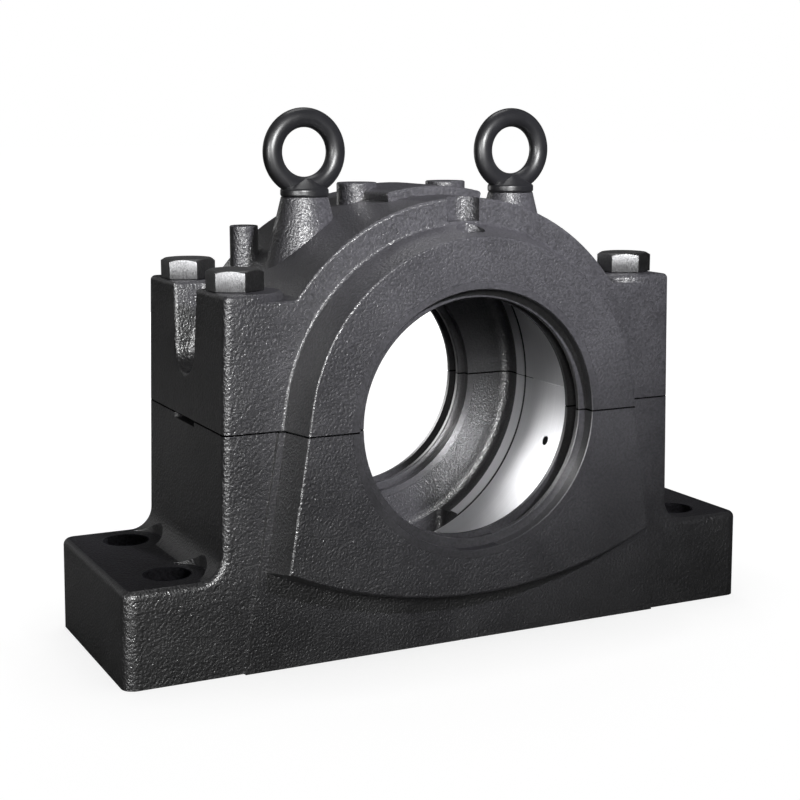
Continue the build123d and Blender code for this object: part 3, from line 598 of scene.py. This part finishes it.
def makeScrew(tree, row, side):
    node = f"cap_bolt_{row}_{side}"
    name = f"capScrew{row.title()}{side.title()}"
    mesh = cutScrew(tree, *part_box(node))
    mesh.name = name
    screw = bpy.data.objects.new(name, mesh)
    bpy.context.scene.collection.objects.link(screw)
    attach(screw, f"bolt_{row}_{side}")
    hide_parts(node)


threads = threadTree()
for row in ("front", "rear"):
    for side in ("left", "right"):
        makeScrew(threads, row, side)
print("cap screws cut")

studio = {
    "floorSize": 60.0,
    "floorColour": 0.22,
    "floorRoughness": 0.9,
    "floorGlow": (0.965, 1.0),      # near the object, and out where the floor meets the backdrop
    "glowReach": (0.5, 2.4),        # metres from the object's middle
    "paintedContactShadow": (0.80, 0.12),        # painted contact shadow: share of the glow left in the tightest corner, and reach
    "roomLight": 0.03,
    "roomGloss": 0.04,
    "cardToward": (-0.38, 0.88, 0.28),   # middle of the pale card that gloss sees behind the bore
    "cardWidth": (0.93, 0.975),     # cosines of its soft edge
    "cardGloss": 0.3,
}


def seenWorld(tree, rays, direction):
    # White to the camera, the card and a dark room to gloss, and a dim light to all else.
    dot = tree.nodes.new("ShaderNodeVectorMath")
    dot.operation = "DOT_PRODUCT"
    tree.links.new(direction, dot.inputs[0])
    dot.inputs[1].default_value = Vector(studio["cardToward"]).normalized()
    levels = (studio["roomGloss"], studio["cardGloss"])
    card = spread(tree, dot.outputs["Value"], *levels, *studio["cardWidth"])
    mirrored = (rays.outputs["Is Glossy Ray"], rays.outputs["Is Transmission Ray"])
    room = mixValue(tree, mathNode(tree, "MAXIMUM", *mirrored), studio["roomLight"], card)
    return mathNode(tree, "MAXIMUM", rays.outputs["Is Camera Ray"], room)


def makeFloor():
    bpy.ops.mesh.primitive_plane_add(size=studio["floorSize"])
    floor = bpy.context.object
    floor.name = "studioFloor"
    mat, tree, shader, place = startMaterial("paleFloor")
    shader.inputs["Base Color"].default_value = (*[studio["floorColour"]] * 3, 1)
    shader.inputs["Roughness"].default_value = studio["floorRoughness"]
    shader.inputs["Specular IOR Level"].default_value = 0.0
    length = tree.nodes.new("ShaderNodeVectorMath")
    length.operation = "LENGTH"
    tree.links.new(place, length.inputs[0])
    glowShare, contactReach = studio["paintedContactShadow"]
    # painted contact shadow: the floor's glow is darkened by ambient occlusion near the object
    clear = tree.nodes.new("ShaderNodeAmbientOcclusion")
    clear.samples = 4
    clear.inputs["Distance"].default_value = contactReach
    shadow = spread(tree, clear.outputs["AO"], glowShare, 1.0, 0.0, 1.0)
    level = spread(tree, length.outputs["Value"], *studio["floorGlow"], *studio["glowReach"])
    level = mathNode(tree, "MULTIPLY", level, shadow)
    rays = tree.nodes.new("ShaderNodeLightPath")
    level = mathNode(tree, "MULTIPLY", rays.outputs["Is Camera Ray"], level)
    glow = tree.nodes.new("ShaderNodeEmission")
    tree.links.new(level, glow.inputs["Strength"])
    both = tree.nodes.new("ShaderNodeAddShader")
    tree.links.new(shader.outputs[0], both.inputs[0])
    tree.links.new(glow.outputs[0], both.inputs[1])
    tree.links.new(both.outputs[0], tree.nodes["Material Output"].inputs["Surface"])
    floor.data.materials.append(mat)


def makeWorld():
    world = bpy.data.worlds.new("studio")
    bpy.context.scene.world = world
    world.use_nodes = True
    tree = world.node_tree
    back = tree.nodes["Background"]
    back.inputs["Color"].default_value = (1, 1, 1, 1)
    rays = tree.nodes.new("ShaderNodeLightPath")
    toward = tree.nodes.new("ShaderNodeTexCoord").outputs["Generated"]
    tree.links.new(seenWorld(tree, rays, toward), back.inputs["Strength"])


def makeLamp(name, look):
    kind = "SPOT" if "cone" in look else "AREA"
    data = bpy.data.lights.new(name, kind)
    data.energy = look["power"]
    if kind == "SPOT":
        data.spot_size = math.radians(look["cone"])
        data.spot_blend = 1.0
        data.shadow_soft_size = look["size"][0] / 2
    else:
        data.shape = "RECTANGLE"
        data.size, data.size_y = look["size"]
        data.spread = math.radians(look.get("spread", 180))
    lamp = bpy.data.objects.new(name, data)
    bpy.context.scene.collection.objects.link(lamp)
    lamp.location = look["place"]
    beam = Vector(look["toward"]) - Vector(look["place"])
    lamp.rotation_euler = beam.to_track_quat("-Z", "Y").to_euler()
    lamp.visible_camera = False
    lamp.visible_glossy = look["gloss"]
    lamp.visible_diffuse = look["diffuse"]


view = {
    "place": (-0.755, -1.4915, 0.5367),
    "tilt": 79.29,                  # degrees up from looking straight down
    "turn": -26.04,
    "lens": 70.08,
    "shift": (0.0144, 0.0181),
}


def makeCamera():
    data = bpy.data.cameras.new("viewCamera")
    data.lens = view["lens"]
    data.shift_x, data.shift_y = view["shift"]
    camera = bpy.data.objects.new("viewCamera", data)
    bpy.context.scene.collection.objects.link(camera)
    camera.location = view["place"]
    camera.rotation_euler = (math.radians(view["tilt"]), 0, math.radians(view["turn"]))
    bpy.context.scene.camera = camera


lamps = {
    "capSpot": {                    # the bright upper part of the front
        "place": (0.5, -2.3, 1.7), "toward": (0.07, -0.15, 0.52),
        "size": (0.3, 0.3), "cone": 18, "power": 790, "gloss": False, "diffuse": True,
    },
    "overheadBox": {
        "place": (0.2, -0.9, 2.6), "toward": (0, 0, 0.3),
        "size": (1.0, 0.8), "power": 4, "gloss": False, "diffuse": True,
    },
    "frontLeftBox": {               # sparkle of the casting skin on the flank
        "place": (-1.25, -2.85, 1.32), "toward": (0, 0, 0.35),
        "size": (0.6, 0.6), "power": 135, "gloss": True, "diffuse": False,
    },
    "leftStrip": {
        "place": (-2.1, -1.9, 0.6), "toward": (0, 0, 0.35),
        "size": (0.3, 1.2), "power": 9, "gloss": True, "diffuse": False,
    },
    "sideBox": {                    # bright edges and bolt flats
        "place": (-2.7, -1.3, 0.65), "toward": (0, 0, 0.35),
        "size": (0.4, 0.9), "power": 34, "gloss": True, "diffuse": False,
    },
    "cornerBox": {
        "place": (0.80, -2.95, 0.14), "toward": (-0.2, 0, 0.35),
        "size": (0.3, 0.3), "power": 0.6, "gloss": True, "diffuse": False,
    },
    "rearFill": {
        "place": (0.9, 2.6, 0.5), "toward": (0, 0, 0.25),
        "size": (1.0, 1.0), "power": 22, "gloss": False, "diffuse": True,
    },
    "topBox": {
        "place": (0.2, 0.9, 2.6), "toward": (0, 0, 0.3),
        "size": (1.2, 0.8), "power": 7, "gloss": True, "diffuse": True,
    },
    "seatCard": {                   # shines through the rear bore on the turned seat
        "place": (-0.08, 0.64, 0.34), "toward": (0.16, 0, 0.15),
        "size": (0.36, 0.34), "spread": 50, "power": 0.22, "gloss": True, "diffuse": False,
    },
}
makeFloor()
makeWorld()
for name, look in lamps.items():
    makeLamp(name, look)
makeCamera()
bpy.context.scene.view_settings.view_transform = "Standard"
print("stage, lamps and camera set")
